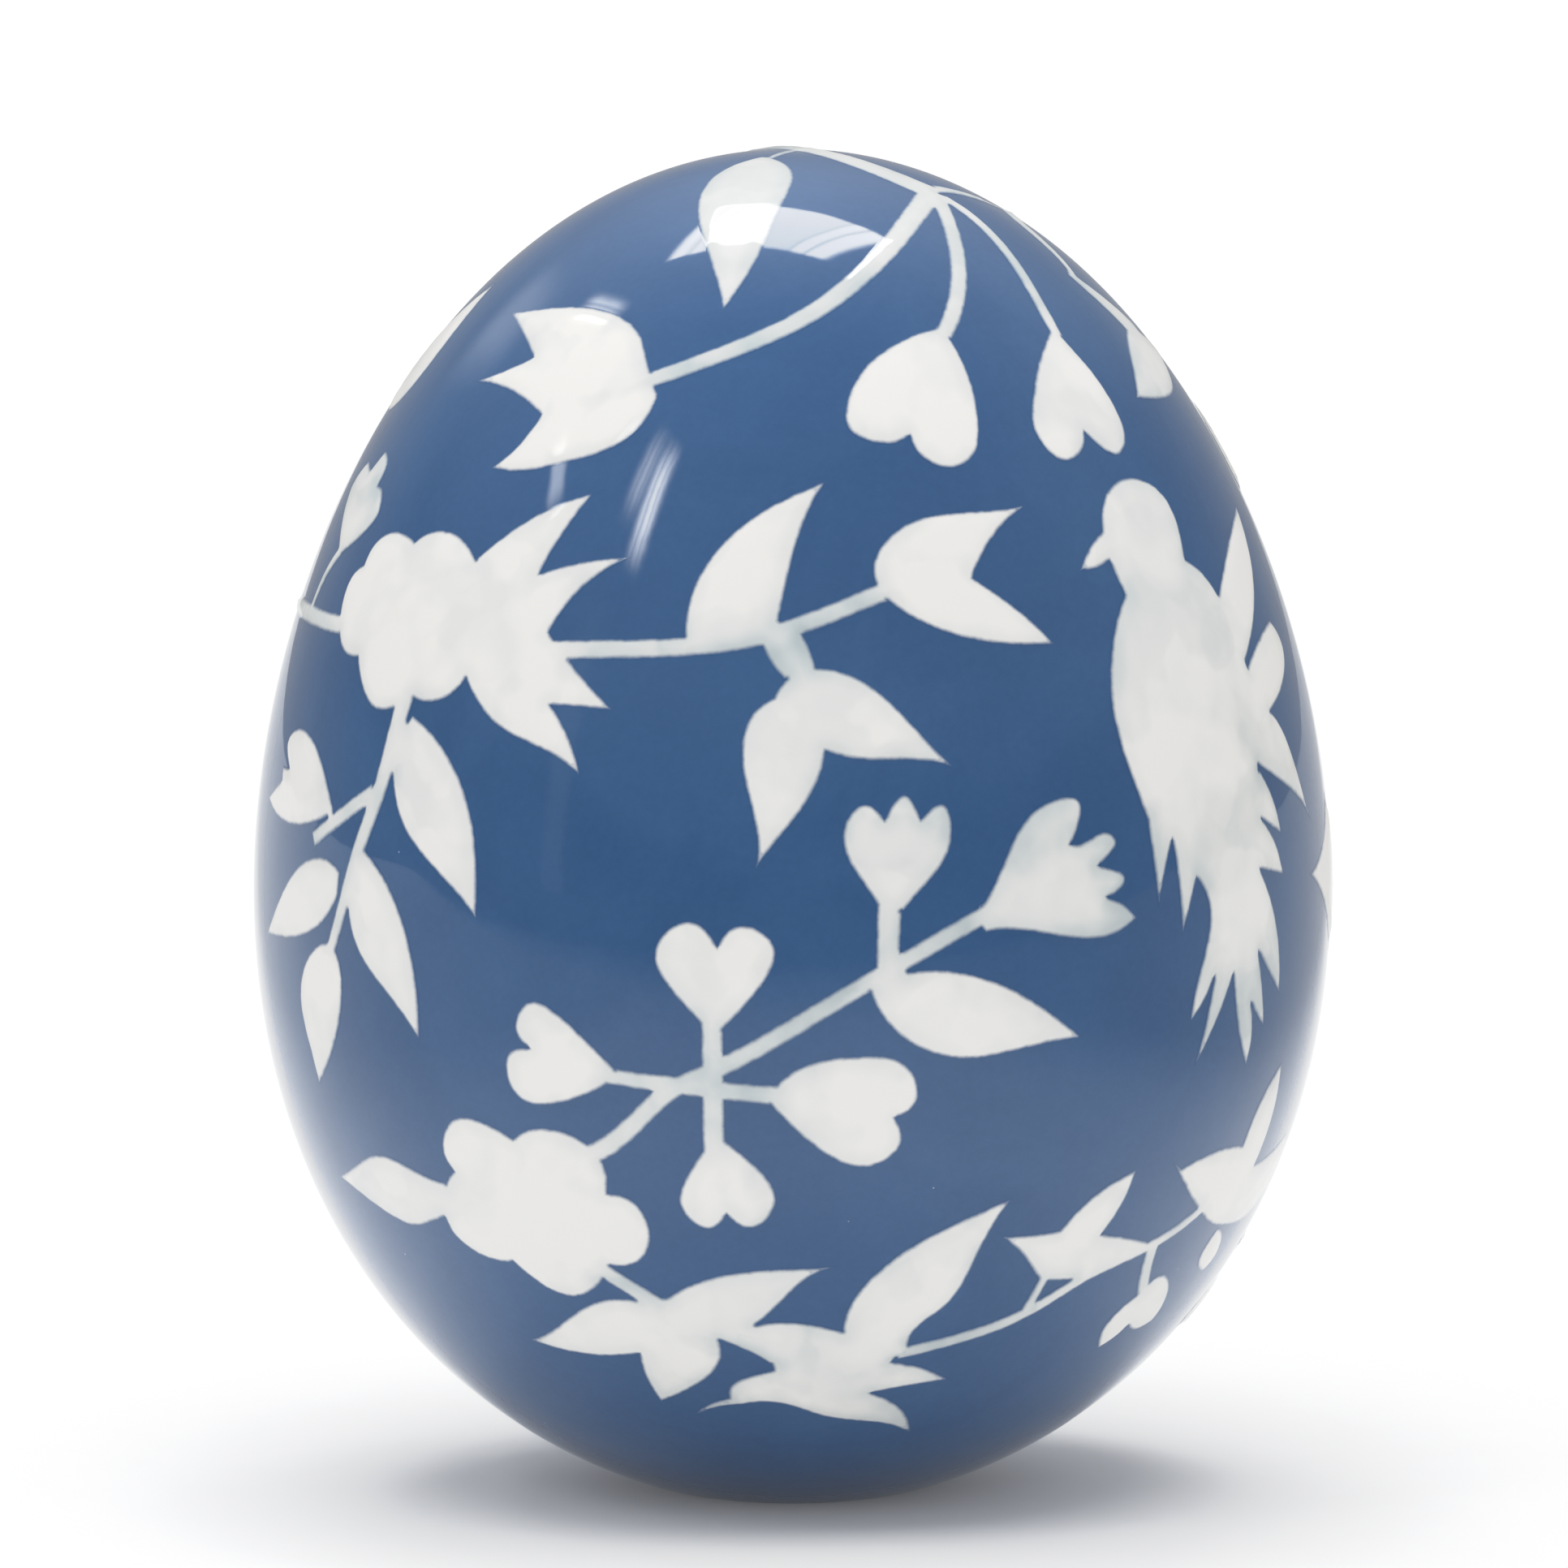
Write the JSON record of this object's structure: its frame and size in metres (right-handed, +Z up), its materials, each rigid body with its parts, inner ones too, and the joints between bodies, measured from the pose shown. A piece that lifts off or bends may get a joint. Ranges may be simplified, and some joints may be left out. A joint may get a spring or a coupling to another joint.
{
  "type": "porcelain egg",
  "caption": "Glazed porcelain egg in slate blue, with birds, hearts, blossoms and leafy branches in white slip, standing in low relief all over its surface.",
  "frame": {"origin": "centre of the foot, on the surface the egg stands on", "axes": "+Z up the egg's axis towards its narrow end, -Y towards the front with the large bird to its right"},
  "size_m": [0.1208, 0.1212, 0.1504],
  "materials": {
    "blue_porcelain": "blue ground under a clear high-gloss glaze, with an unglazed foot",
    "white_slip": "thick white slip under a clear high-gloss glaze, bluish grey where it is thin"
  },
  "bodies": {
    "root": {"egg_body": "blue_porcelain", "crown_petal": "white_slip", "crown_tulip": "white_slip", "crown_heart": "white_slip", "side_heart": "white_slip", "crown_branch": "white_slip", "shoulder_twig": "white_slip", "shoulder_sprig": "white_slip", "shoulder_leaf": "white_slip", "rose": "white_slip", "rose_tulip": "white_slip", "rose_leaf": "white_slip", "swallow_leaf": "white_slip", "double_leaf": "white_slip", "rose_stem": "white_slip", "rose_bud": "white_slip", "rose_twig": "white_slip", "trail_leaf_upper": "white_slip", "trail_leaf_lower": "white_slip", "trail_leaf_end": "white_slip", "trail_leaf_side": "white_slip", "trail_bud": "white_slip", "trail_stem": "white_slip", "bird_body": "white_slip", "bird_tail": "white_slip", "bird_feather_high": "white_slip", "bird_feather_middle": "white_slip", "bird_feather_low": "white_slip", "edge_star": "white_slip", "heart_up": "white_slip", "heart_down": "white_slip", "heart_left": "white_slip", "heart_right": "white_slip", "tulip_up": "white_slip", "tulip_right": "white_slip", "wheel_leaf": "white_slip", "wheel_stems": "white_slip", "lower_blossom": "white_slip", "lower_leaf": "white_slip", "trefoil": "white_slip", "garland_leaf": "white_slip", "garland_bird": "white_slip", "star_leaf": "white_slip", "hanging_leaves": "white_slip", "garland_tulip": "white_slip", "garland_stem": "white_slip", "back_blossom": "white_slip", "back_tulip": "white_slip", "back_leaves": "white_slip", "back_branch": "white_slip", "back_crown_hearts": "white_slip", "back_crown_leaf": "white_slip", "back_crown_stems": "white_slip", "back_bird": "white_slip", "back_sprig": "white_slip", "back_hearts": "white_slip", "back_wheel": "white_slip", "back_garland_blossom": "white_slip", "back_garland_leaves": "white_slip", "back_garland_stem": "white_slip"}
  },
  "joints": []
}
